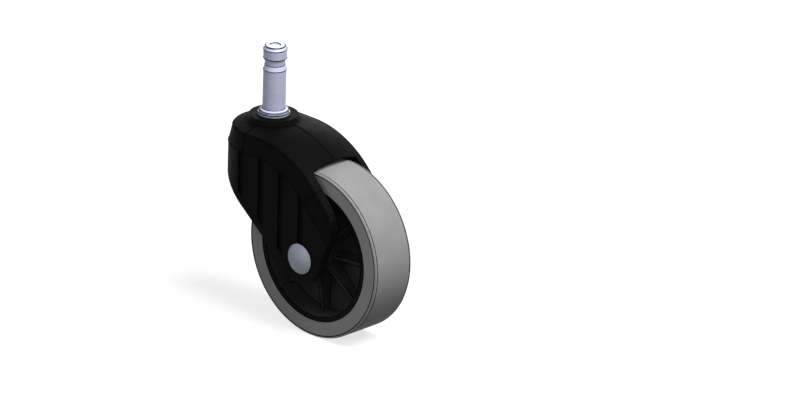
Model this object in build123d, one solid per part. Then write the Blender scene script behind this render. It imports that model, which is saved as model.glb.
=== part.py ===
from build123d import *
import math
import os

# Swivel caster with a push-in stem, a moulded hood that is also the fork, and one rubber-tyred wheel.
# Millimetres, +Z up. The origin is on the stem's axis where its plain shank starts, the wheel trails
# towards +X and the axle lies along Y. "Drop" means a depth below the top of the hood's collar boss.

# Clearances between pieces that turn or slide on each other
running_clearance = 0.05
thrust_play = 0.10
wheel_end_play = 0.20
clip_clearance = 0.05
rod_clearance = 0.05

# Stem above the hood
shank_d = 10.0
shank_length = 17.75
neck_cone_height = 2.25
neck_step = 0.6
neck_length = 3.0
foot_cone_height = 0.70
octagon_across_flats = 12.6
octagon_height = 1.0
flange_d = 14.0
flange_height = 0.95
tip_d = 8.5
tip_height = 0.60
tip_chamfer = 0.30
dimple_d = 5.2
dimple_depth = 0.50

# Grip ring in its groove at the top of the stem
grip_ring_proud = 0.10
grip_ring_top_d = 8.6
grip_ring_straight = 4.05
grip_ring_lead = 1.10
grip_ring_wall = 1.30
grip_ring_slit = 1.60
grip_ring_slit_angle = 134.0

# Spindle, washer and clip inside the hood
spindle_d = 8.0
spindle_end_length = 1.0
spindle_chamfer = 0.6
washer_d = 13.6
washer_height = 1.0
clip_height = 0.9
clip_groove_depth = 0.8
clip_reach = 1.6
clip_offset = 0.5
clip_gap = 2.4
clip_lug_r = 1.45
clip_lug_hole_r = 0.6

# Swivel bushes
swivel_bush_wall = 1.55
swivel_bush_flange_lip = 1.0
swivel_bush_flange_height = 1.2
swivel_bush_length = 7.0

# Hood, outside
boss_d = 21.2
boss_draft_angle = 17.5
boss_foot_round = 1.0
roof_drop = 1.7
shoulder_drop = 5.0
panel_top_drop = 12.5
turn_centre_drop = 50.5
turn_centre_x = 8.0
turn_angle = 46.5
hood_half_width = 19.25
shoulder_inset = 1.75
shoulder_round = 0.8
tip_r = 11.2
skirt_angle = 38.7
rear_point_x = 50.9
rear_point_drop = 42.4
leg_corner_r = 14.7
leg_edge_round = 0.6

# Hood, grooves pressed into the side panels
groove_count = 4
groove_first_x = -0.7
groove_pitch = 11.95
groove_width = 2.4
groove_depth = 0.7
groove_skirt_margin = 4.0

# Hood, inside
wall = 3.0
cavity_end_x = 12.0
lip_x = 36.3
leg_gap_clearance = 2.5
leg_gap_drop = 12.0
leg_draft_angle = 2.0
socket_wall = 3.0
socket_foot_drop = 19.0
rib_width = 2.2
rib_foot_drop = 17.0
well_clearance = 2.85
well_crown_r = 39.0
axle_boss_r = 7.6

# Axle
trail = 35.5
axle_drop = 51.6
axle_d = 6.0
axle_head_d = 14.0
axle_head_height = 2.7
axle_end_length = 1.6
sleeve_wall = 1.0
spacer_width = 1.5
push_nut_d = 12.0
push_nut_height = 0.5
push_nut_slits = 6
push_nut_slit_width = 0.8
push_nut_slit_r = 4.4
cap_wall = 0.5

# Wheel
wheel_d = 75.0
wheel_width = 21.8
tread_round = 0.85
tyre_wall = 7.4
rim_front_wall = 2.0
rim_web_wall = 2.5
rim_ridge_height = 1.1
rim_ridge_width = 9.0
rim_ridge_crest = 6.0
web_height = 2.0
hub_d = 15.2
rib_count = 8
rib_root_width = 3.0
rib_front_width = 1.5
rib_hub_recess = 3.7
rib_rim_recess = 6.9
bead_width = 1.5
bead_height = 0.8
bead_front_recess = 0.7
wheel_bush_wall = 1.25
wheel_bush_flange_lip = 1.35
wheel_bush_flange_height = 1.2
wheel_bush_length = 7.5

# Sizes, heights and places that follow
neck_d = shank_d - 2 * neck_step
grip_ring_d = shank_d + 2 * grip_ring_proud
clip_groove_d = spindle_d - 2 * clip_groove_depth
clip_d = spindle_d + 2 * clip_reach
swivel_bush_d = spindle_d + 2 * (running_clearance + swivel_bush_wall)
swivel_bush_flange_d = swivel_bush_d + 2 * swivel_bush_flange_lip
shoulder_half_width = hood_half_width - shoulder_inset
boss_top = -(foot_cone_height + octagon_height + flange_height + thrust_play)
socket_foot = boss_top - socket_foot_drop
washer_top = socket_foot - swivel_bush_flange_height - thrust_play
clip_top = washer_top - washer_height
clip_foot = clip_top - clip_height
spindle_foot = clip_foot - spindle_end_length
axle_height = boss_top - axle_drop
turn_centre = Vector(turn_centre_x, 0, boss_top - turn_centre_drop)
slope = math.radians(turn_angle)
sleeve_d = axle_d + 2 * (rod_clearance + sleeve_wall)
wheel_half_width = wheel_width / 2
wheel_bush_d = sleeve_d + 2 * (running_clearance + wheel_bush_wall)
wheel_bush_flange_d = wheel_bush_d + 2 * wheel_bush_flange_lip
leg_gap_half = wheel_half_width + leg_gap_clearance
axle_boss_half_gap = wheel_half_width + wheel_end_play + spacer_width
rim_d = wheel_d - 2 * tyre_wall
rim_front_bore_d = rim_d - 2 * rim_front_wall
rim_web_bore_d = rim_d - 2 * rim_web_wall
rim_ridge_d = rim_d + 2 * rim_ridge_height
hub_half_width = wheel_half_width - wheel_bush_flange_height
axle_frame = Plane(origin=(trail, 0, axle_height), x_dir=(1, 0, 0), z_dir=(0, 1, 0))


def turned(*points):
    """A solid turned about the upright axis from (radius, height) points."""
    return revolve(Plane.XZ * make_face(Polyline(*points, close=True)), Axis.Z)


def on_axle(shape):
    """Places a shape modelled about the upright axis on the axle, its height along +Y."""
    return axle_frame.location * shape


def across(face, half_width):
    """A side outline, drawn in X and Z, carried half_width each way along Y."""
    return extrude(Plane.XZ * face, amount=half_width, both=True)


def ring(outer_d, inner_d, foot, top):
    """A plain ring about the upright axis."""
    return turned((inner_d / 2, foot), (outer_d / 2, foot), (outer_d / 2, top), (inner_d / 2, top))


def upright_rod(radius, foot, top):
    """A plain rod about the upright axis."""
    return turned((0, foot), (radius, foot), (radius, top), (0, top))


# Stem and what it carries

def stem():
    shank_r = shank_d / 2
    neck_top = shank_length + neck_cone_height + neck_length
    groove_r = grip_ring_d / 2 - grip_ring_wall - clip_clearance
    groove_top = neck_top + grip_ring_straight + grip_ring_lead + clip_clearance
    top = groove_top + tip_height
    octagon_top = -foot_cone_height
    flange_top = octagon_top - octagon_height
    flange_foot = flange_top - flange_height
    body = turned(
        (0, spindle_foot),
        (spindle_d / 2 - spindle_chamfer, spindle_foot),
        (spindle_d / 2, spindle_foot + spindle_chamfer),
        (spindle_d / 2, clip_foot),
        (clip_groove_d / 2, clip_foot),
        (clip_groove_d / 2, clip_top),
        (spindle_d / 2, clip_top),
        (spindle_d / 2, flange_foot),
        (flange_d / 2, flange_foot),
        (flange_d / 2, flange_top),
        (shank_r, flange_top),
        (shank_r, shank_length),
        (neck_d / 2, shank_length + neck_cone_height),
        (neck_d / 2, neck_top),
        (groove_r, neck_top),
        (groove_r, groove_top),
        (tip_d / 2, groove_top),
        (tip_d / 2, top - tip_chamfer),
        (tip_d / 2 - tip_chamfer, top),
        (dimple_d / 2, top),
        (dimple_d / 2 - dimple_depth / 2, top - dimple_depth),
        (0, top - dimple_depth),
    )
    octagon = RegularPolygon(octagon_across_flats / 2, 8, major_radius=False, rotation=180 / 8)
    collar = extrude(Pos(0, 0, flange_top) * octagon, amount=octagon_height)
    cone = Pos(0, 0, octagon_top) * turned(
        (0, 0), (octagon_across_flats / 2, 0), (shank_r, foot_cone_height), (0, foot_cone_height)
    )
    return body + collar + cone


def grip_ring():
    foot = shank_length + neck_cone_height + neck_length
    inner_r = grip_ring_d / 2 - grip_ring_wall
    lead_foot = foot + grip_ring_straight
    top = lead_foot + grip_ring_lead
    whole = turned(
        (inner_r, foot),
        (grip_ring_d / 2, foot),
        (grip_ring_d / 2, lead_foot),
        (grip_ring_top_d / 2, top),
        (inner_r, top),
    )
    height = grip_ring_straight + grip_ring_lead
    slit = Pos(grip_ring_d / 2, 0, foot + height / 2) * Box(grip_ring_d, grip_ring_slit, 2 * height)
    return whole - Rot(0, 0, grip_ring_slit_angle) * slit


def stem_washer():
    return ring(washer_d, spindle_d + 2 * clip_clearance, clip_top, washer_top)


def stem_retaining_ring():
    inner_r = clip_groove_d / 2 + clip_clearance
    lug_x = clip_gap / 2 + clip_lug_r
    lug_y = inner_r + clip_lug_r
    face = Pos(0, -clip_offset) * Circle(clip_d / 2 - clip_offset) - Circle(inner_r)
    face -= Pos(0, clip_d / 2) * Rectangle(clip_gap, clip_d)
    for side in (-1, 1):
        face += Pos(side * lug_x, lug_y) * Circle(clip_lug_r)
    face -= Circle(inner_r)
    for side in (-1, 1):
        face -= Pos(side * lug_x, lug_y) * Circle(clip_lug_hole_r)
    return extrude(Pos(0, 0, clip_foot) * face, amount=clip_height)


# Hood, its outside

def hood_section(inset):
    """The hood's cross-section, inset from its outside, down to the height of the turn's centre."""
    top = boss_top - roof_drop - inset
    shoulder = boss_top - shoulder_drop - inset
    panel_top = boss_top - panel_top_drop
    shoulder_y = shoulder_half_width - inset
    side_y = hood_half_width - inset
    foot = turn_centre.Z
    crown = ThreePointArc((-shoulder_y, shoulder), (0, top), (shoulder_y, shoulder))
    sides = Polyline(
        (shoulder_y, shoulder),
        (side_y, panel_top),
        (side_y, foot),
        (-side_y, foot),
        (-side_y, panel_top),
        (-shoulder_y, shoulder),
    )
    face = make_face(crown + sides)
    corners = [v for v in face.vertices() if abs(v.Y - shoulder) < 0.01]
    return fillet(corners, shoulder_round)


def hood_form(inset=0.0):
    """The hood's section turned round the nose, run straight, turned over the back, run down the slope."""
    section = hood_section(inset)
    reach = 2 * turn_centre_drop
    half = section & (Pos(reach / 2, turn_centre.Z) * Rectangle(reach, 2 * reach))
    nose = revolve(Plane.XZ * half, Axis.Z, revolution_arc=360)
    straight = extrude(Plane.YZ * section, amount=turn_centre_x)
    turn_face = Pos(turn_centre_x, 0, 0) * (Plane.YZ * section)
    turn_axis = Axis(turn_centre, (0, 1, 0))
    turn = revolve(turn_face, turn_axis, revolution_arc=turn_angle)
    end_face = turn_face.rotate(turn_axis, turn_angle)
    run = extrude(end_face, amount=reach, dir=(math.cos(slope), 0, -math.sin(slope)))
    return nose + straight + turn + run


def skirt_height(x):
    """Height of the skirt's straight lower edge, which meets the round end of the leg at a tangent."""
    rise = math.radians(skirt_angle)
    touch_x = trail - tip_r * math.sin(rise)
    touch_z = axle_height - tip_r * math.cos(rise)
    return touch_z + (touch_x - x) * math.tan(rise)


def panel_top_height(x):
    """Height of the line where the side panel meets the bevel above it."""
    radius = turn_centre_drop - panel_top_drop
    run = x - turn_centre_x
    if run <= 0:
        return turn_centre.Z + radius
    if run <= radius * math.sin(slope):
        return turn_centre.Z + math.sqrt(radius**2 - run**2)
    return turn_centre.Z + (radius - run * math.sin(slope)) / math.cos(slope)


def rear_corner():
    """The leg's rear corner, seen from the side: its centre, its start on the slope and the rear point."""
    rear = Vector(rear_point_x, boss_top - rear_point_drop)
    out = Vector(math.sin(slope), math.cos(slope))
    along = Vector(out.Y, -out.X)
    fall = shoulder_drop - roof_drop
    crown_r = (shoulder_half_width**2 + fall**2) / (2 * fall)
    edge_drop = roof_drop + crown_r - math.sqrt(crown_r**2 - leg_gap_half**2)
    foot = Vector(turn_centre_x, turn_centre.Z) + out * (turn_centre_drop - edge_drop - leg_corner_r)
    offset = rear - foot
    back = math.sqrt(leg_corner_r**2 - offset.dot(out) ** 2)
    centre = foot + along * (offset.dot(along) - back)
    return centre, centre + out * leg_corner_r, rear


def side_outline():
    """What the side view keeps: the rear corner of the leg, its round end and the sloping skirt."""
    centre, leave, rear = rear_corner()
    middle = centre + ((leave - centre) + (rear - centre)).normalized() * leg_corner_r
    axle = Vector(trail, axle_height)
    gap = rear - axle
    back_angle = math.atan2(gap.Y, gap.X) - math.acos(tip_r / gap.length)
    skirt_direction = math.radians(270 - skirt_angle)
    touch_back = axle + Vector(math.cos(back_angle), math.sin(back_angle)) * tip_r
    touch_skirt = axle + Vector(math.cos(skirt_direction), math.sin(skirt_direction)) * tip_r
    front_x = -2 * hood_half_width
    above = 2 * hood_half_width
    outline = Polyline(
        touch_skirt, (front_x, skirt_height(front_x)), (front_x, above), (2 * rear_point_x, above), leave
    )
    outline += ThreePointArc(leave, middle, rear)
    outline += Line(rear, touch_back)
    outline += ThreePointArc(touch_back, axle + Vector(0, -tip_r), touch_skirt)
    return make_face(outline)


def rounded_form():
    """The hood's outside cut to its side outline, with the outer edges of the skirt and legs rounded."""
    form = hood_form() & across(side_outline(), 2 * hood_half_width)
    corner_top = rear_corner()[1].Y
    cut_faces = [f for f in form.faces() if abs(f.normal_at().Y) < 0.01 and f.center().Z < corner_top]
    edges = [e for f in cut_faces for e in f.edges()]
    across_y = [e for e in edges if e.geom_type == GeomType.LINE and abs(e.tangent_at(0.5).Y) > 0.99]
    return fillet([e for e in edges if e not in across_y], leg_edge_round)


def collar_boss():
    """The drafted collar round the stem, from the boss top down into the roof."""
    depth = roof_drop + wall
    foot_r = boss_d / 2 + depth * math.tan(math.radians(boss_draft_angle))
    return turned((0, boss_top - depth), (foot_r, boss_top - depth), (boss_d / 2, boss_top), (0, boss_top))


def panel_grooves():
    """Shallow upright grooves on both side panels, ending along the skirt or at the axle's head."""
    lift = groove_skirt_margin / math.cos(math.radians(skirt_angle))
    grooves = []
    for number in range(groove_count):
        centre = groove_first_x + number * groove_pitch
        left = centre - groove_width / 2
        right = centre + groove_width / 2
        foot_left = skirt_height(left) + lift
        foot_right = skirt_height(right) + lift
        if abs(centre - trail) < axle_head_d / 2:
            foot_left = foot_right = axle_height
        face = make_face(Polyline(
            (left, panel_top_height(left)), (left, foot_left), (right, foot_right),
            (right, panel_top_height(right)), close=True,
        ))
        bar = across(face, hood_half_width + groove_depth)
        grooves.append(bar - across(face, hood_half_width - groove_depth))
    return grooves


# Hood, its inside

def leg_slot(front_x, rear_x, top):
    """The drafted space between the legs, wider towards the axle."""
    draft = math.tan(math.radians(leg_draft_angle))
    foot = axle_height - wheel_d
    level = boss_top - leg_gap_drop
    top_half = leg_gap_half - (top - level) * draft
    foot_half = leg_gap_half + (level - foot) * draft
    corners = [(-top_half, top), (top_half, top), (foot_half, foot), (-foot_half, foot)]
    face = make_face(Polyline(*corners, close=True))
    return Pos(front_x, 0, 0) * extrude(Plane.YZ * face, amount=rear_x - front_x)


def hood_hollow():
    """The space under the roof, wide round the socket and as wide as the leg slot over the wheel."""
    inner = hood_form(wall)
    reach = 4 * hood_half_width
    front = Pos(cavity_end_x - reach / 2, 0, turn_centre.Z) * Box(reach, reach, 4 * reach)
    return inner & (front + leg_slot(cavity_end_x, lip_x, 0))


def wheel_well():
    """The space round the wheel, crowned like the roof so that it leaves an even, thin lip over the wheel."""
    half = hood_half_width - wall
    top_r = wheel_d / 2 + well_clearance
    side_r = top_r - (well_crown_r - math.sqrt(well_crown_r**2 - half**2))
    profile = Polyline((side_r, half), (0, half), (0, -half), (side_r, -half))
    profile += ThreePointArc((side_r, -half), (top_r, 0), (side_r, half))
    barrel = on_axle(revolve(Plane.XZ * make_face(profile), Axis.Z))
    return barrel & leg_slot(trail - 2 * top_r, trail + 2 * top_r, 0)


def socket_and_ribs():
    """The tube that holds the swivel bushes, with ribs to the nose, to each side and over the wheel."""
    tube_r = swivel_bush_d / 2 + socket_wall
    roof = boss_top - roof_drop - wall / 2
    tube = upright_rod(tube_r, socket_foot, roof)
    height = rib_foot_drop - roof_drop
    middle = boss_top - roof_drop - height / 2
    side = Pos(0, 0, middle) * Box(rib_width, 2 * hood_half_width, height)
    length = hood_half_width + lip_x
    long = Pos(length / 2 - hood_half_width, 0, middle) * Box(length, rib_width, height)
    return tube + side + long


def axle_bosses():
    """Round pads inside the legs that the spacers bear on."""
    pad = ring(2 * axle_boss_r, axle_d, axle_boss_half_gap, hood_half_width - wall / 2)
    return on_axle(pad) + on_axle(mirror(pad, Plane.XY))


def hood():
    form = rounded_form()
    boss = collar_boss()
    shell = form + boss
    shell = fillet(new_edges(form, boss, combined=shell), boss_foot_round)
    shell -= hood_hollow()
    shell -= wheel_well()
    shell -= leg_slot(lip_x, 2 * rear_point_x, 2 * hood_half_width)
    inside = socket_and_ribs() & hood_form(wall / 2) & across(side_outline(), 2 * hood_half_width)
    body = shell + (inside - wheel_well()) + axle_bosses()
    bore = upright_rod(swivel_bush_d / 2, socket_foot - wall, boss_top + wall)
    seat = Pos(0, 0, boss_top) * Cylinder(swivel_bush_flange_d / 2, 2 * swivel_bush_flange_height)
    axle_hole = on_axle(Cylinder(axle_d / 2 + rod_clearance, 4 * hood_half_width))
    body = body - bore - seat - axle_hole
    for groove in panel_grooves():
        body -= groove
    return body


# Swivel bushes

def upper_swivel_bush():
    bore_d = spindle_d + 2 * running_clearance
    flange_foot = boss_top - swivel_bush_flange_height
    flange = ring(swivel_bush_flange_d, bore_d, flange_foot, boss_top)
    return flange + ring(swivel_bush_d, bore_d, flange_foot - swivel_bush_length, flange_foot)


def lower_swivel_bush():
    bore_d = spindle_d + 2 * running_clearance
    flange = ring(swivel_bush_flange_d, bore_d, socket_foot - swivel_bush_flange_height, socket_foot)
    return flange + ring(swivel_bush_d, bore_d, socket_foot, socket_foot + swivel_bush_length)


# Axle, modelled about the upright axis with the far side up, then laid on the axle line

def dome(base, height, diameter):
    """A domed disc on the plane at base, bulging up."""
    radius = ((diameter / 2) ** 2 + height**2) / (2 * height)
    half_way = math.asin(diameter / 2 / radius) / 2
    centre = base + height - radius
    profile = Polyline((diameter / 2, base), (0, base), (0, base + height))
    profile += ThreePointArc(
        (0, base + height),
        (radius * math.sin(half_way), centre + radius * math.cos(half_way)),
        (diameter / 2, base),
    )
    return revolve(Plane.XZ * make_face(profile), Axis.Z)


def axle():
    end = hood_half_width + axle_end_length
    chamfer_height = axle_end_length / 4
    rod = turned(
        (0, -hood_half_width),
        (axle_d / 2, -hood_half_width),
        (axle_d / 2, end - chamfer_height),
        (axle_d / 2 - chamfer_height, end),
        (0, end),
    )
    head = mirror(dome(hood_half_width, axle_head_height, axle_head_d), Plane.XY)
    return on_axle(rod + head)


def axle_sleeve():
    return on_axle(ring(sleeve_d, axle_d + 2 * rod_clearance, -axle_boss_half_gap, axle_boss_half_gap))


def push_nut():
    foot = hood_half_width
    nut = ring(push_nut_d, axle_d, foot, foot + push_nut_height)
    middle = Pos(push_nut_slit_r / 2, 0, foot)
    slit = middle * Box(push_nut_slit_r, push_nut_slit_width, 4 * push_nut_height)
    for number in range(push_nut_slits):
        nut -= Rot(0, 0, number * 360 / push_nut_slits) * slit
    return on_axle(nut)


def axle_cap():
    foot = hood_half_width
    inner_d = axle_head_d - 2 * cap_wall
    solid = dome(foot, axle_head_height, axle_head_d)
    hollow = dome(foot, axle_head_height - cap_wall, inner_d)
    nut_seat = Pos(0, 0, foot) * Cylinder(push_nut_d / 2, 2 * push_nut_height)
    return on_axle(solid - hollow - nut_seat)


def spacer():
    """A washer between a leg and the hub, on the far side."""
    inner_d = sleeve_d + 2 * rod_clearance
    return ring(wheel_bush_flange_d, inner_d, wheel_half_width + wheel_end_play, axle_boss_half_gap)


# Wheel, modelled about the upright axis like the axle

def tyre():
    outer_r = wheel_d / 2
    half = wheel_half_width
    profile = Polyline(
        (rim_d / 2, -half), (outer_r, -half), (outer_r, half), (rim_d / 2, half),
        (rim_d / 2, rim_ridge_width / 2), (rim_ridge_d / 2, rim_ridge_crest / 2),
        (rim_ridge_d / 2, -rim_ridge_crest / 2), (rim_d / 2, -rim_ridge_width / 2), close=True,
    )
    face = make_face(profile)
    shoulders = [v for v in face.vertices() if v.X > outer_r - 0.01]
    return on_axle(revolve(Plane.XZ * fillet(shoulders, tread_round), Axis.Z))


def rib_front(radius):
    """How far the ribs' sloping front edges stand from the middle of the web."""
    share = (radius - hub_d / 2) / (rim_web_bore_d / 2 - hub_d / 2)
    return wheel_half_width - rib_hub_recess - share * (rib_rim_recess - rib_hub_recess)


def core_ribs():
    """Radial ribs on both faces of the web, thicker at the root, cut to a shallow cone at the front."""
    inner_r = hub_d / 2 - 0.5 * rib_root_width
    outer_r = rim_web_bore_d / 2 + 0.5 * rib_root_width
    high = wheel_half_width
    draft = (rib_root_width - rib_front_width) / 2 / (wheel_half_width - rib_hub_recess)
    far_half = rib_root_width / 2 - draft * high
    wedge = make_face(Polyline(
        (-rib_root_width / 2, 0), (-far_half, high), (far_half, high), (rib_root_width / 2, 0),
        (far_half, -high), (-far_half, -high), close=True,
    ))
    slab = Pos(inner_r, 0, 0) * extrude(Plane.YZ * wedge, amount=outer_r - inner_r)
    bead_r = rim_front_bore_d / 2 - bead_height
    bead_high = wheel_half_width - bead_front_recess
    bead = Pos((bead_r + outer_r) / 2, 0, 0) * Box(outer_r - bead_r, bead_width, 2 * bead_high)
    envelope = turned(
        (inner_r, rib_front(inner_r)), (outer_r, rib_front(outer_r)),
        (outer_r, -rib_front(outer_r)), (inner_r, -rib_front(inner_r)),
    )
    one = (slab & envelope) + bead
    return [Rot(0, 0, number * 360 / rib_count) * one for number in range(rib_count)]


def wheel_core():
    half = wheel_half_width
    web = web_height / 2
    blank = turned(
        (wheel_bush_d / 2, -hub_half_width), (hub_d / 2, -hub_half_width), (hub_d / 2, -web),
        (rim_web_bore_d / 2, -web), (rim_front_bore_d / 2, -half), (rim_d / 2, -half),
        (rim_d / 2, -rim_ridge_width / 2), (rim_ridge_d / 2, -rim_ridge_crest / 2),
        (rim_ridge_d / 2, rim_ridge_crest / 2), (rim_d / 2, rim_ridge_width / 2),
        (rim_d / 2, half), (rim_front_bore_d / 2, half), (rim_web_bore_d / 2, web),
        (hub_d / 2, web), (hub_d / 2, hub_half_width), (wheel_bush_d / 2, hub_half_width),
    )
    for rib in core_ribs():
        blank += rib
    return on_axle(blank)


def wheel_bush():
    """A flanged bush in the far end of the hub."""
    bore_d = sleeve_d + 2 * running_clearance
    flange = ring(wheel_bush_flange_d, bore_d, hub_half_width, wheel_half_width)
    return flange + ring(wheel_bush_d, bore_d, hub_half_width - wheel_bush_length, hub_half_width)


def far(piece):
    return on_axle(piece)


def near(piece):
    return on_axle(mirror(piece, Plane.XY))


pieces = {
    "stem": stem(),
    "grip_ring": grip_ring(),
    "stem_washer": stem_washer(),
    "stem_retaining_ring": stem_retaining_ring(),
    "hood": hood(),
    "upper_swivel_bush": upper_swivel_bush(),
    "lower_swivel_bush": lower_swivel_bush(),
    "axle": axle(),
    "axle_sleeve": axle_sleeve(),
    "near_spacer": near(spacer()),
    "far_spacer": far(spacer()),
    "push_nut": push_nut(),
    "axle_cap": axle_cap(),
    "wheel_core": wheel_core(),
    "tyre": tyre(),
    "near_wheel_bush": near(wheel_bush()),
    "far_wheel_bush": far(wheel_bush()),
}

os.makedirs("parts", exist_ok=True)
for name, piece in pieces.items():
    export_step(piece, f"parts/{name}.step")
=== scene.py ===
import math

import bmesh
import bpy
from mathutils import Matrix, Vector


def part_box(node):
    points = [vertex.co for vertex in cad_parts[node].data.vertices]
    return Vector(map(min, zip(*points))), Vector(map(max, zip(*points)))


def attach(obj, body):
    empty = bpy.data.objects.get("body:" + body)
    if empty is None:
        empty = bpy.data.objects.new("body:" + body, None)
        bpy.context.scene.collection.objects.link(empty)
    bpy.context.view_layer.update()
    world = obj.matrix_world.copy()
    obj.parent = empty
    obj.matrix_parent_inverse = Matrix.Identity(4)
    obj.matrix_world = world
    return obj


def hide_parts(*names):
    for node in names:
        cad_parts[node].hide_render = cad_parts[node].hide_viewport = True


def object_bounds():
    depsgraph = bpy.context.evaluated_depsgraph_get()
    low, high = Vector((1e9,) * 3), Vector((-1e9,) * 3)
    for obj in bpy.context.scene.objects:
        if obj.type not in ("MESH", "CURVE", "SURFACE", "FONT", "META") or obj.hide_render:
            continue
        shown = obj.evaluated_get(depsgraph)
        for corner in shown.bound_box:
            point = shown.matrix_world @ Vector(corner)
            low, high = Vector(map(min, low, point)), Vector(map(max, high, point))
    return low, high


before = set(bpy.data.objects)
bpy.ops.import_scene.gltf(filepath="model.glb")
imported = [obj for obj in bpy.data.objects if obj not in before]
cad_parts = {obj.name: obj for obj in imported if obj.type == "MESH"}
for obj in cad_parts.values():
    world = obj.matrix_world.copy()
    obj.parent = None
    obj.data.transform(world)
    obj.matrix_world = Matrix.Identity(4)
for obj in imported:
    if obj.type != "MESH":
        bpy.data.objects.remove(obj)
CAD_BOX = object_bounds()

# The part's lengths are written in millimetres and turned into metres with MM. The floor, lamps
# and camera are placed in metres.
MM = 0.001

# Places on the part, read from the frame
TYRE_LOW, TYRE_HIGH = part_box("tyre")
HOOD_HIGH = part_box("hood")[1]
AXLE = (TYRE_LOW + TYRE_HIGH) / 2
TYRE_R = (TYRE_HIGH.z - TYRE_LOW.z) / 2
TYRE_HALF = (TYRE_HIGH.y - TYRE_LOW.y) / 2
FLOOR_Z = TYRE_LOW.z
HOOD_HALF = HOOD_HIGH.y
BOSS_TOP = HOOD_HIGH.z

# The hood's form in millimetres, heights as drops below its collar boss
TURN_X = 8.0
TURN_DROP = 50.5
TURN_ANGLE = math.radians(46.5)
BOSS_WALL_FOOT_R = 11.35
BOSS_FOOT_R = 12.35
ROOF_LIP_X = 36.3
LIP_INSET = 0.1
SLOPE_START = 0.5
LEG_INNER_Y = 13.45
SHOULDER_INNER = (17.1, 4.85)
SHOULDER_OUTER = (17.62, 5.45)
PANEL_LINE = (19.25, 12.5)
SHOULDER_RUN = 13.6
PANEL_RUN = 22.6
AXLE_DROP = 51.6
TIP_R = 11.2
SKIRT_ANGLE = math.radians(38.7)
GROOVE_FIRST_X = -0.7
GROOVE_PITCH = 11.95
GROOVE_HALF_WIDTH = 1.2
GROOVE_SKIRT_MARGIN = 4.0
GROOVE_COUNT = 4
LAST_GROOVE_RISE = 6.0
# Where the legs' rear faces change direction: x, y and drop at the inner and the outer edge
LEG_CORNERS = (
    ((42.9, LEG_INNER_Y, 19.2), (42.2, 17.2, 20.0)),
    ((42.0, 17.6, 20.2), (36.6, 19.2, 25.3)),
    ((50.4, LEG_INNER_Y, 27.3), (50.7, 17.3, 28.3)),
    ((52.5, LEG_INNER_Y, 35.2), (52.2, 17.9, 36.0)),
    ((50.0, LEG_INNER_Y, 44.0), (50.9, 19.1, 42.4)),
)

# The rim that the tyre sits on
RIM_R = 30.1 * MM
RIDGE_R = 31.2 * MM
RIDGE_CREST = 3.0 * MM
RIDGE_FOOT = 4.5 * MM

# How finely curves are drawn
TYRE_SEGMENTS = 240
TREAD_ROUND_STEPS = 8
SHARP_ANGLE = math.radians(32)
CURVE_POINTS = 40
STRAIGHT_POINTS = 20
ROOF_SEAM_POINTS = 50
NOSE_ROOF_POINTS = 20
NOSE_SIDE_POINTS = 12
LEG_CORNER_POINTS = 16
STEM_RING_POINTS = 72
AXLE_RING_POINTS = 96

# Radii of the fine lines
SEAM_R = 0.18 * MM
HOOD_EDGE_R = 0.19 * MM
BOSS_FOOT_LINE_R = 0.15 * MM
STEM_EDGE_R = 0.17 * MM
STEM_SHADOW_R = 0.24 * MM
RIB_EDGE_R = 0.17 * MM
CORE_RING_R = 0.19 * MM
HEAD_FOOT_R = 0.28 * MM


# Node trees

def srgb(red, green, blue):
    """Linear colour from the 8-bit values that a picture shows."""
    linear = []
    for value in (red, green, blue):
        share = value / 255
        linear.append(share / 12.92 if share <= 0.04045 else ((share + 0.055) / 1.055) ** 2.4)
    return (*linear, 1.0)


def add(tree, kind, inputs=None, **settings):
    """A new node with its settings, and its inputs given as values or as other nodes' sockets."""
    made = tree.nodes.new(kind)
    for key, value in settings.items():
        setattr(made, key, value)
    for key, value in (inputs or {}).items():
        if isinstance(value, bpy.types.NodeSocket):
            tree.links.new(value, made.inputs[key])
        else:
            made.inputs[key].default_value = value
    return made


def maths(tree, operation, a, b=0.0):
    return add(tree, "ShaderNodeMath", {0: a, 1: b}, operation=operation).outputs[0]


def noise(tree, vector, size, detail=2.0, roughness=0.5):
    """Noise whose grains are about the given size across."""
    return add(tree, "ShaderNodeTexNoise", {
        "Vector": vector, "Scale": 1 / size, "Detail": detail, "Roughness": roughness,
    }).outputs["Fac"]


def blend(tree, factor, first, second):
    """A colour between two, by a factor."""
    return add(tree, "ShaderNodeMix", {0: factor, 6: first, 7: second}, data_type="RGBA").outputs[2]


def ramp(tree, value, low, high, to_low, to_high):
    """A value moved from one range to another and held inside it."""
    return add(tree, "ShaderNodeMapRange", {
        "Value": value, "From Min": low, "From Max": high, "To Min": to_low, "To Max": to_high,
    }).outputs["Result"]


def new_material(name):
    """An empty node material with its output, its tree and the piece's own coordinates."""
    material = bpy.data.materials.new(name)
    material.use_nodes = True
    tree = material.node_tree
    tree.nodes.clear()
    coords = tree.nodes.new("ShaderNodeTexCoord").outputs["Object"]
    return material, tree, coords


def finish_material(material, tree, base, roughness, normal, **surface):
    """The shader itself, with what doesn't vary set on its own sockets."""
    inputs = {"Base Color": base, "Roughness": roughness, "Normal": normal}
    inputs.update({key.replace("_", " "): value for key, value in surface.items()})
    shader = add(tree, "ShaderNodeBsdfPrincipled", inputs)
    output = tree.nodes.new("ShaderNodeOutputMaterial")
    tree.links.new(shader.outputs["BSDF"], output.inputs["Surface"])
    return material


def bumped(tree, height, distance, strength, edge_radius):
    """A surface normal with softened edges and a fine relief on it."""
    edges = add(tree, "ShaderNodeBevel", {"Radius": edge_radius}, samples=4).outputs["Normal"]
    return add(tree, "ShaderNodeBump", {
        "Height": height, "Distance": distance, "Strength": strength, "Normal": edges,
    }).outputs["Normal"]


# Materials

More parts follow.
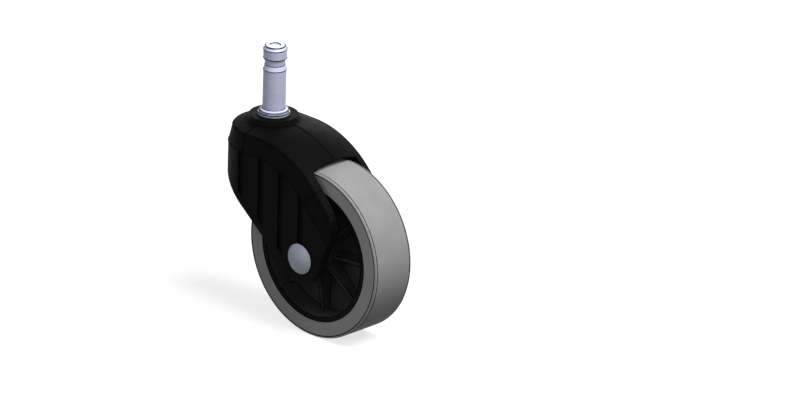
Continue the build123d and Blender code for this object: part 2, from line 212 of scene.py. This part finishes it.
def moulded_plastic(name, dark, light, roughness, specular=0.02, outer=None):
    """Moulded plastic: fine grain, flow clouds, rubbed patches, perhaps darker outer faces, with
    the lighter tone of the faces within them painted light.
    """
    material, tree, coords = new_material(name)
    clouds = noise(tree, coords, 14 * MM, detail=3)
    grains = noise(tree, coords, 0.22 * MM, detail=2)
    rubbed = noise(tree, coords, 3.5 * MM, detail=4, roughness=0.6)
    base = blend(tree, ramp(tree, clouds, 0.3, 0.7, 0, 1), dark, light)
    # The outer faces take the plastic's own darker colour; the lighter tone left on the recessed
    # faces within them is painted light
    if outer:
        along = add(tree, "ShaderNodeSeparateXYZ", {0: coords}).outputs[1]
        reach = maths(tree, "ABSOLUTE", along)
        outside = ramp(tree, reach, TYRE_HALF - 0.5 * MM, TYRE_HALF - 0.2 * MM, 0, 1)
        base = blend(tree, outside, base, outer)
    rough = maths(tree, "ADD", ramp(tree, rubbed, 0.35, 0.65, -0.05, 0.05), roughness)
    normal = bumped(tree, grains, 0.02 * MM, 0.6, 0.22 * MM)
    return finish_material(material, tree, base, rough, normal, Specular_IOR_Level=specular)


def turned_steel(name, dark, light, centre, axis, roughness, painted_light_slopes=None, painted_highlight_ends=None):
    """Plated steel off a lathe: rings round its axis, clouds, perhaps painted light on slopes and a
    painted highlight on ends that face up.
    """
    material, tree, coords = new_material(name)
    moved = add(tree, "ShaderNodeVectorMath", {0: coords, 1: centre}, operation="SUBTRACT")
    parts = add(tree, "ShaderNodeSeparateXYZ", {0: moved.outputs[0]}).outputs
    along, across = (parts[2], parts[1]) if axis == "Z" else (parts[1], parts[2])
    squares = [maths(tree, "MULTIPLY", part, part) for part in (parts[0], across)]
    radius = maths(tree, "SQRT", maths(tree, "ADD", *squares))
    ringed = add(tree, "ShaderNodeCombineXYZ", {0: radius, 2: along}).outputs[0]
    rings = noise(tree, ringed, 0.16 * MM, detail=2)
    broad = noise(tree, ringed, 1.6 * MM, detail=3)
    clouds = noise(tree, coords, 4 * MM, detail=4, roughness=0.6)
    base = blend(tree, ramp(tree, clouds, 0.3, 0.7, 0, 1), dark, light)
    # Painted light: faces tilted upward take a lighter colour, and faces looking straight up take a
    # near-white painted highlight
    if painted_light_slopes:
        facing = tree.nodes.new("ShaderNodeTexCoord").outputs["Normal"]
        upward = add(tree, "ShaderNodeSeparateXYZ", {0: facing}).outputs[2]
        base = blend(tree, ramp(tree, upward, 0.16, 0.22, 0, 1), base, painted_light_slopes)
        base = blend(tree, ramp(tree, upward, 0.9, 0.99, 0, 1), base, painted_highlight_ends)
    rough = maths(tree, "ADD", ramp(tree, broad, 0.3, 0.7, -0.06, 0.06), roughness)
    normal = bumped(tree, rings, 0.006 * MM, 0.5, 0.12 * MM)
    return finish_material(
        material, tree, base, rough, normal, Metallic=0.05, Specular_IOR_Level=0.2
    )


def rubber(name, dark, light):
    """Grey moulded rubber: a fine matt grain, soft clouds of bloom and a few darker specks."""
    material, tree, coords = new_material(name)
    clouds = noise(tree, coords, 11 * MM, detail=4, roughness=0.55)
    grains = noise(tree, coords, 0.28 * MM, detail=3)
    specks = noise(tree, coords, 0.9 * MM, detail=2)
    bloom = ramp(tree, clouds, 0.3, 0.7, 0.1, 1)
    tone = maths(tree, "SUBTRACT", bloom, ramp(tree, specks, 0.62, 0.75, 0, 0.5))
    base = blend(tree, tone, dark, light)
    rough = ramp(tree, clouds, 0.3, 0.7, 0.62, 0.74)
    normal = bumped(tree, grains, 0.03 * MM, 0.45, 0.2 * MM)
    return finish_material(material, tree, base, rough, normal, Specular_IOR_Level=0.08)


def coat_node(name, material):
    """Gives a CAD node its one material."""
    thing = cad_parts[name]
    thing.data.materials.clear()
    thing.data.materials.append(material)


STEM_AXIS_POINT = (0, 0, 0)
AXLE_POINT = tuple(AXLE)
HOOD_BLACK = moulded_plastic(
    "hood_black_plastic", srgb(10, 10, 10), srgb(14, 14, 14), roughness=0.55
)
# The wheel core's own black is the outer colour; its lighter grey on the ribs, web, hub and inner
# rim is painted light for the shade in its pockets
CORE_BLACK_WITH_PAINTED_LIGHT = moulded_plastic(
    "core_black_plastic_painted_light", srgb(44, 44, 44), srgb(52, 52, 52), roughness=0.5,
    outer=srgb(14, 14, 14)
)
# Near-black lines, darker than the plastic: painted shade along seams, edges and creases
SEAM_AND_SHADE_BLACK = moulded_plastic(
    "parting_line_and_painted_shade_black", srgb(1, 1, 1), srgb(3, 3, 3), roughness=0.8
)
BUSH_WHITE = moulded_plastic(
    "bush_natural_nylon", srgb(206, 202, 190), srgb(216, 213, 203), roughness=0.45,
    specular=0.3
)
# The stem's and grip ring's slope and end colours are painted light and a painted highlight on
# their upward faces
STEM_STEEL = turned_steel(
    "stem_blue_zinc", srgb(177, 182, 206), srgb(187, 192, 216), STEM_AXIS_POINT, "Z",
    roughness=0.4, painted_light_slopes=srgb(208, 214, 241), painted_highlight_ends=srgb(236, 239, 250)
)
RING_STEEL = turned_steel(
    "grip_ring_spring_steel", srgb(178, 182, 207), srgb(188, 192, 217), STEM_AXIS_POINT, "Z",
    roughness=0.36, painted_light_slopes=srgb(210, 215, 240), painted_highlight_ends=srgb(236, 239, 250)
)
AXLE_STEEL = turned_steel(
    "axle_blue_zinc", srgb(151, 156, 170), srgb(161, 166, 180), AXLE_POINT, "Y", roughness=0.4
)
# Dark blue-grey lines round the stem: painted shade along its edges and painted shadow under its
# ring and round its top
STEM_SHADE_LINE = turned_steel(
    "stem_shadow_line", srgb(16, 17, 28), srgb(24, 25, 36), STEM_AXIS_POINT, "Z", roughness=0.6
)
TYRE_GREY = rubber("tyre_grey_rubber", srgb(147, 147, 147), srgb(158, 158, 158))
# Near-black rubber on the tyre's groove faces: painted shade in the fine grooves
TYRE_GROOVE_SHADE = rubber("tyre_groove_painted_shade", srgb(16, 16, 16), srgb(24, 24, 24))

for node_name in ("stem", "stem_washer", "stem_retaining_ring"):
    coat_node(node_name, STEM_STEEL)
coat_node("grip_ring", RING_STEEL)
coat_node("hood", HOOD_BLACK)
for node_name in ("upper_swivel_bush", "lower_swivel_bush", "near_wheel_bush", "far_wheel_bush"):
    coat_node(node_name, BUSH_WHITE)
for node_name in ("axle", "axle_sleeve", "near_spacer", "far_spacer", "push_nut", "axle_cap"):
    coat_node(node_name, AXLE_STEEL)
coat_node("wheel_core", CORE_BLACK_WITH_PAINTED_LIGHT)
coat_node("tyre", TYRE_GREY)


# Pieces that the scene adds

def new_piece(name, mesh, material, body):
    thing = bpy.data.objects.new(name, mesh)
    bpy.context.scene.collection.objects.link(thing)
    mesh.materials.append(material)
    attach(thing, body)
    return thing


def groove(at, direction, inward):
    """A fine round groove across a profile: points that each say whether a face painted dark as
    groove shade follows.
    """
    width = 0.46 * MM
    depth = 0.22 * MM
    along = Vector(direction)
    down = Vector(inward)
    points = []
    for share, sink in ((-0.5, 0), (-0.3, 0.75), (0, 1), (0.3, 0.75), (0.5, 0)):
        point = Vector(at) + along * share * width + down * sink * depth
        points.append((point.x, point.y, share < 0.5))
    return points


def tyre_profile():
    """Half the tyre's section: from mid-plane at the bore, over the face, to mid-plane outside."""
    round_r = 0.85 * MM
    edge_break = 0.12 * MM
    groove_inset = 0.2 * MM
    face = TYRE_HALF
    edge = TYRE_R - round_r
    points = [(RIDGE_R, 0, False), (RIDGE_R, RIDGE_CREST, False), (RIM_R, RIDGE_FOOT, False)]
    points += [(RIM_R, face - edge_break, False), (RIM_R + edge_break, face, False)]
    points += groove((edge - groove_inset, face), (1, 0), (0, -1))
    for step in range(1, TREAD_ROUND_STEPS):
        turn = math.radians(90 * step / TREAD_ROUND_STEPS)
        across = (edge + round_r * math.sin(turn), face - round_r + round_r * math.cos(turn))
        points.append((*across, False))
    points += groove((TYRE_R, face - round_r - groove_inset), (0, -1), (-1, 0))
    points.append((TYRE_R, 0, False))
    return points


def mirrored(profile):
    """The whole closed section, from one half of it."""
    back = []
    for number in range(len(profile) - 2, 0, -1):
        radius, y = profile[number][:2]
        back.append((radius, -y, profile[number - 1][2]))
    radius, y = profile[-1][:2]
    return profile[:-1] + [(radius, y, profile[-2][2])] + back


def spun_mesh(name, profile, segments):
    """A closed mesh spun about the axle from a ring of (radius, y, dark) points; dark faces take
    the second material, painted groove shade.
    """
    mesh = bpy.data.meshes.new(name)
    vertices = []
    faces = []
    groove_shade_faces = []
    count = len(profile)
    for step in range(segments):
        turn = 2 * math.pi * step / segments
        following = (step + 1) % segments
        for number, (radius, y, dark) in enumerate(profile):
            vertices.append((
                AXLE.x + radius * math.cos(turn), AXLE.y + y, AXLE.z + radius * math.sin(turn)
            ))
            nearby = (number + 1) % count
            faces.append((
                step * count + number, step * count + nearby,
                following * count + nearby, following * count + number,
            ))
            groove_shade_faces.append(dark)
    mesh.from_pydata(vertices, [], faces)
    for face, dark in zip(mesh.polygons, groove_shade_faces):
        face.material_index = 1 if dark else 0
    shade = bmesh.new()
    shade.from_mesh(mesh)
    bmesh.ops.recalc_face_normals(shade, faces=shade.faces)
    shade.to_mesh(mesh)
    shade.free()
    mesh.shade_smooth()
    mesh.set_sharp_from_angle(angle=SHARP_ANGLE)
    return mesh


tyre_mesh = spun_mesh("tyre_rubber", mirrored(tyre_profile()), TYRE_SEGMENTS)
tyre_rubber = new_piece("tyre_rubber", tyre_mesh, TYRE_GREY, "wheel")
tyre_mesh.materials.append(TYRE_GROOVE_SHADE)
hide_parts("tyre")


# Fine lines of painted shade: the mould's parting lines, and dark lines along edges of the hood,
# stem and wheel

def place(x, y, drop):
    """A point in metres from millimetres, its height a drop below the collar boss."""
    return Vector((x * MM, y * MM, BOSS_TOP - drop * MM))


def steps(low, high, count):
    return [low + (high - low) * number / (count - 1) for number in range(count)]


def swept(y, drop, run):
    """The way of one point of the hood's section: round the nose, over the back, down the slope."""
    side = 1 if y > 0 else -1
    half_width = abs(y)
    radius = TURN_DROP - drop
    points = []
    for turn in steps(0, math.pi / 2, CURVE_POINTS):
        x = -half_width * math.cos(turn)
        points.append(place(x, side * half_width * math.sin(turn), drop))
    for turn in steps(0, TURN_ANGLE, CURVE_POINTS):
        x = TURN_X + radius * math.sin(turn)
        points.append(place(x, y, TURN_DROP - radius * math.cos(turn)))
    end_x = TURN_X + radius * math.sin(TURN_ANGLE)
    end_drop = TURN_DROP - radius * math.cos(TURN_ANGLE)
    for way in steps(SLOPE_START, run, STRAIGHT_POINTS):
        x = end_x + way * math.cos(TURN_ANGLE)
        points.append(place(x, y, end_drop + way * math.sin(TURN_ANGLE)))
    return points


def on_surface(node, points):
    """The points moved to the nearest place on a CAD node."""
    return [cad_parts[node].closest_point_on_mesh(point)[1] for point in points]


def fine_lines(name, routes, radius, material, body, closed=False):
    """One piece of round lines, half sunk in their surface and kept inside the CAD box."""
    low, high = CAD_BOX
    curve = bpy.data.curves.new(name, "CURVE")
    curve.dimensions = "3D"
    curve.bevel_depth = radius
    curve.bevel_resolution = 1
    curve.use_fill_caps = True
    for points in routes:
        spline = curve.splines.new("POLY")
        spline.points.add(len(points) - 1)
        spline.use_cyclic_u = closed
        for number, point in enumerate(points):
            inside = (max(point.x, low.x + radius), point.y, min(point.z, high.z - radius))
            spline.points[number].co = (*inside, 1)
    return new_piece(name, curve, material, body)


def ring_points(radius, height=0.0):
    """A level ring about the stem's axis."""
    points = []
    for number in range(STEM_RING_POINTS):
        turn = 2 * math.pi * number / STEM_RING_POINTS
        points.append(Vector((radius * math.cos(turn), radius * math.sin(turn), height)))
    return points


def roof_below(x, y):
    """The hood's surface straight below a point, x and y in metres."""
    above = Vector((x, y, 100 * MM))
    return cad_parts["hood"].ray_cast(above, Vector((0, 0, -1)))[1]


def panel_top(x):
    """Drop of the panel's upper line at an x."""
    radius = TURN_DROP - PANEL_LINE[1]
    run = x - TURN_X
    if run <= 0:
        return PANEL_LINE[1]
    if run <= radius * math.sin(TURN_ANGLE):
        return TURN_DROP - math.sqrt(radius**2 - run**2)
    return TURN_DROP - (radius - run * math.sin(TURN_ANGLE)) / math.cos(TURN_ANGLE)


def skirt_drop(x):
    """Drop of the skirt's lower edge at an x."""
    touch_x = AXLE.x / MM - TIP_R * math.sin(SKIRT_ANGLE)
    touch_drop = AXLE_DROP + TIP_R * math.cos(SKIRT_ANGLE)
    return touch_drop - (touch_x - x) * math.tan(SKIRT_ANGLE)


def both_sides(route):
    """A route given on the far side, with its mirror image on the near side."""
    return [route, [Vector((point.x, -point.y, point.z)) for point in route]]


def hood_seams():
    """Parting lines over the roof, down each side of the nose and across the legs' rear faces,
    near-black as painted shade.
    """
    roof_x = steps(BOSS_FOOT_R, ROOF_LIP_X - LIP_INSET, ROOF_SEAM_POINTS)
    routes = [[roof_below(x * MM, 0) for x in roof_x]]
    nose_y = steps(BOSS_FOOT_R, SHOULDER_INNER[0], NOSE_ROOF_POINTS)
    nose = [roof_below(0, y * MM) for y in nose_y]
    shoulder = place(0, *SHOULDER_OUTER)
    panel = place(0, *PANEL_LINE)
    side = [shoulder.lerp(panel, share) for share in steps(0, 1, NOSE_SIDE_POINTS)]
    routes += both_sides(nose + on_surface("hood", side))
    for start, end in LEG_CORNERS:
        first = place(*start)
        last = place(*end)
        corner = [first.lerp(last, share) for share in steps(0, 1, LEG_CORNER_POINTS)]
        routes += both_sides(on_surface("hood", corner))
    return routes


def hood_edges():
    """Lines of painted shade along the shoulders and the panels' upper edges."""
    routes = []
    edges = (
        (SHOULDER_INNER, SHOULDER_RUN), (SHOULDER_OUTER, SHOULDER_RUN), (PANEL_LINE, PANEL_RUN),
    )
    for (y, drop), run in edges:
        routes += both_sides(on_surface("hood", swept(y, drop, run)))
    return routes


def groove_shade_outlines():
    """Lines of painted shade round the grooves in both side panels."""
    routes = []
    lift = GROOVE_SKIRT_MARGIN / math.cos(SKIRT_ANGLE)
    y = PANEL_LINE[0]
    for number in range(GROOVE_COUNT):
        middle = GROOVE_FIRST_X + number * GROOVE_PITCH
        left = middle - GROOVE_HALF_WIDTH
        right = middle + GROOVE_HALF_WIDTH
        foot_left = skirt_drop(left) - lift
        foot_right = skirt_drop(right) - lift
        if number == GROOVE_COUNT - 1:
            foot_left = foot_right = AXLE_DROP - LAST_GROOVE_RISE
        corners = [
            (left, panel_top(left)), (left, foot_left), (right, foot_right),
            (right, panel_top(right)),
        ]
        routes += both_sides([place(x, y, drop) for x, drop in corners])
    return routes


fine_lines("hood_parting_and_shade_lines", hood_seams(), SEAM_R, SEAM_AND_SHADE_BLACK, "hood")
fine_lines("hood_edge_shade_lines", hood_edges(), HOOD_EDGE_R, SEAM_AND_SHADE_BLACK, "hood")
fine_lines("groove_shade_outlines", groove_shade_outlines(), SEAM_R, SEAM_AND_SHADE_BLACK, "hood")
# Lines of painted shade round the foot of the collar boss
boss_rings = []
for ring_r in (BOSS_WALL_FOOT_R, BOSS_FOOT_R):
    boss_rings.append([roof_below(point.x, point.y) for point in ring_points(ring_r * MM)])
fine_lines(
    "boss_foot_shade_lines", boss_rings, BOSS_FOOT_LINE_R, SEAM_AND_SHADE_BLACK, "hood", closed=True
)

# Lines of painted shade round the stem's edges, and painted shadow lines at the ring's foot and
# round the top:
# radius and height in millimetres
STEM_EDGES = (
    (5.0, 17.75), (4.4, 20.0), (5.1, 27.05), (5.0, 0.0), (6.25, -0.7), (7.0, -1.7), (7.0, -2.62),
)
STEM_SHADOWS = ((5.03, 23.05), (4.3, 28.45), (2.52, 28.6))
OCTAGON_R = 6.82
OCTAGON_SIDES = 8
OCTAGON_HEIGHTS = (-0.7, -1.7)
stem_rings = [ring_points(radius * MM, height * MM) for radius, height in STEM_EDGES]
for height in OCTAGON_HEIGHTS:
    corners = []
    for number in range(OCTAGON_SIDES):
        turn = math.radians(360 / OCTAGON_SIDES * (number + 0.5))
        corner = Vector((OCTAGON_R * math.cos(turn), OCTAGON_R * math.sin(turn), height))
        corners.append(corner * MM)
    stem_rings.append(corners)
fine_lines("stem_edge_shade_lines", stem_rings, STEM_EDGE_R, STEM_SHADE_LINE, "stem", closed=True)
shadow_rings = [ring_points(radius * MM, height * MM) for radius, height in STEM_SHADOWS]
fine_lines(
    "stem_shadow_lines", shadow_rings, STEM_SHADOW_R, STEM_SHADE_LINE, "stem", closed=True
)

HEAD_R = 7.0
HUB_R = 7.6
WEB_HALF = 1.0
RIB_COUNT = 8
# Lines of painted shade at a rib's front edges and its foot, each at the hub and at the rim, in
# millimetres: radius, place along the axle and half width
RIB_FRONT = ((7.7, 7.2, 0.75), (27.5, 4.0, 1.08))
RIB_FOOT = ((7.7, WEB_HALF, 1.4), (27.5, WEB_HALF, 1.4))
# Lines of painted shade round the wheel's centre: radius and place along the axle in millimetres
CORE_RINGS = ((28.1, 10.88), (30.1, 10.88), (HUB_R, 9.7), (HUB_R, WEB_HALF), (27.6, WEB_HALF))


def round_axle(radius, across, turn, y):
    """A point in metres from millimetres: radius, sideways step, turn and place along the axle."""
    x = radius * math.cos(turn) - across * math.sin(turn)
    z = radius * math.sin(turn) + across * math.cos(turn)
    return AXLE + Vector((x, y, z)) * MM


def axle_ring(radius, y):
    turns = [2 * math.pi * number / AXLE_RING_POINTS for number in range(AXLE_RING_POINTS)]
    return [round_axle(radius, 0, turn, y) for turn in turns]


def rib_edges():
    """Lines of painted shade along the ribs' front edges and at their feet, on both faces of the
    wheel.
    """
    routes = []
    for side in (-1, 1):
        for number in range(RIB_COUNT):
            turn = 2 * math.pi * number / RIB_COUNT
            for edge in (RIB_FRONT, RIB_FOOT):
                for hand in (-1, 1):
                    routes.append([
                        round_axle(radius, hand * half, turn, side * y) for radius, y, half in edge
                    ])
    return routes


fine_lines("rib_edge_shade_lines", rib_edges(), RIB_EDGE_R, SEAM_AND_SHADE_BLACK, "wheel")
core_rings = [axle_ring(radius, side * y) for radius, y in CORE_RINGS for side in (-1, 1)]
fine_lines(
    "core_ring_shade_lines", core_rings, CORE_RING_R, SEAM_AND_SHADE_BLACK, "wheel", closed=True
)
# Painted contact shadow: a near-black ring round the foot of each axle head
head_rings = [axle_ring(HEAD_R, side * HOOD_HALF / MM) for side in (-1, 1)]
fine_lines(
    "head_foot_shadow_lines", head_rings, HEAD_FOOT_R, SEAM_AND_SHADE_BLACK, "hood", closed=True
)


# Floor, light and camera

FLOOR_HALF = 3.0
FLOOR_GREY = srgb(190, 190, 190)
BOUNCE_GREY = srgb(80, 80, 80)
WHITE = (1, 1, 1, 1)
FLOOR_GLOW = 0.72
AMBIENT = 0.1
# The middle of the caster, which the lamps are aimed at
MIDDLE = (0.016, 0, -0.032)
floor_corners = [
    (x * FLOOR_HALF, y * FLOOR_HALF, FLOOR_Z) for x, y in ((-1, -1), (1, -1), (1, 1), (-1, 1))
]
floor_mesh = bpy.data.meshes.new("floor")
floor_mesh.from_pydata(floor_corners, [], [(0, 1, 2, 3)])
floor = bpy.data.objects.new("floor", floor_mesh)
bpy.context.scene.collection.objects.link(floor)


def seen_directly(tree):
    """1 for camera, mirror and glass rays, 0 for the light that falls on the part."""
    path = tree.nodes.new("ShaderNodeLightPath")
    seen = maths(tree, "MAXIMUM", path.outputs["Is Camera Ray"], path.outputs["Is Glossy Ray"])
    return maths(tree, "MAXIMUM", seen, path.outputs["Is Transmission Ray"])


def floor_material():
    """Pale floor that looks nearly white where it is seen and still takes the part's shadow."""
    material = bpy.data.materials.new("pale_floor")
    material.use_nodes = True
    tree = material.node_tree
    tree.nodes.clear()
    diffuse = add(tree, "ShaderNodeBsdfDiffuse", {"Color": FLOOR_GREY})
    bounce = add(tree, "ShaderNodeBsdfDiffuse", {"Color": BOUNCE_GREY})
    white = add(tree, "ShaderNodeEmission", {"Color": WHITE, "Strength": FLOOR_GLOW})
    lifted = add(tree, "ShaderNodeAddShader", {0: diffuse.outputs[0], 1: white.outputs[0]})
    chosen = add(tree, "ShaderNodeMixShader", {
        0: seen_directly(tree), 1: bounce.outputs[0], 2: lifted.outputs[0],
    })
    output = tree.nodes.new("ShaderNodeOutputMaterial")
    tree.links.new(chosen.outputs[0], output.inputs["Surface"])
    return material


floor_mesh.materials.append(floor_material())

world = bpy.data.worlds.new("studio")
bpy.context.scene.world = world
world.use_nodes = True
sky = world.node_tree
sky.nodes.clear()
ambient = add(sky, "ShaderNodeBackground", {"Color": WHITE, "Strength": AMBIENT})
white_wall = add(sky, "ShaderNodeBackground", {"Color": WHITE, "Strength": 1.0})
shown = add(sky, "ShaderNodeMixShader", {
    0: seen_directly(sky), 1: ambient.outputs[0], 2: white_wall.outputs[0],
})
sky_output = sky.nodes.new("ShaderNodeOutputWorld")
sky.links.new(shown.outputs[0], sky_output.inputs["Surface"])


def soft_light(name, where, size, power):
    """A round lamp aimed at the middle of the caster."""
    lamp = bpy.data.lights.new(name, "AREA")
    lamp.shape = "DISK"
    lamp.size = size
    lamp.energy = power
    thing = bpy.data.objects.new(name, lamp)
    thing.location = where
    thing.rotation_euler = (Vector(MIDDLE) - Vector(where)).to_track_quat("-Z", "Y").to_euler()
    bpy.context.scene.collection.objects.link(thing)


soft_light("key", (0.46, 0.02, 0.68), size=0.56, power=7.7)
soft_light("fill", (0.08, -0.78, 0.29), size=0.30, power=0.95)
soft_light("front", (0.56, -0.57, 0.29), size=0.20, power=0.9)
soft_light("back", (-0.44, 0.64, 0.26), size=0.40, power=1.15)

# The photograph is a parallel view
PICTURE_WIDTH = 800
PIXELS_PER_MM = 2.338
VIEW_WIDTH = PICTURE_WIDTH / PIXELS_PER_MM * MM
CAMERA_DISTANCE = 1.0
TOWARDS_CAMERA = Vector((0.64108, -0.67227, 0.37023)).normalized()
LEVEL_RIGHT = Vector((0, 0, 1)).cross(TOWARDS_CAMERA).normalized()
LEVEL_UP = TOWARDS_CAMERA.cross(LEVEL_RIGHT)
ROLL = math.radians(1.32)
RIGHT = LEVEL_RIGHT * math.cos(ROLL) + LEVEL_UP * math.sin(ROLL)
UP = LEVEL_UP * math.cos(ROLL) - LEVEL_RIGHT * math.sin(ROLL)
# The picture's centre in millimetres, from the origin, where the stem's shank meets its collar
CENTRE_RIGHT = 53.91
CENTRE_DOWN = 43.43
CENTRE = RIGHT * CENTRE_RIGHT * MM - UP * CENTRE_DOWN * MM

camera_data = bpy.data.cameras.new("camera")
camera_data.type = "ORTHO"
camera_data.ortho_scale = VIEW_WIDTH
camera = bpy.data.objects.new("camera", camera_data)
bpy.context.scene.collection.objects.link(camera)
turned = Matrix((RIGHT, UP, TOWARDS_CAMERA)).transposed().to_4x4()
turned.translation = CENTRE + TOWARDS_CAMERA * CAMERA_DISTANCE
camera.matrix_world = turned
bpy.context.scene.camera = camera
bpy.context.scene.view_settings.view_transform = "Standard"
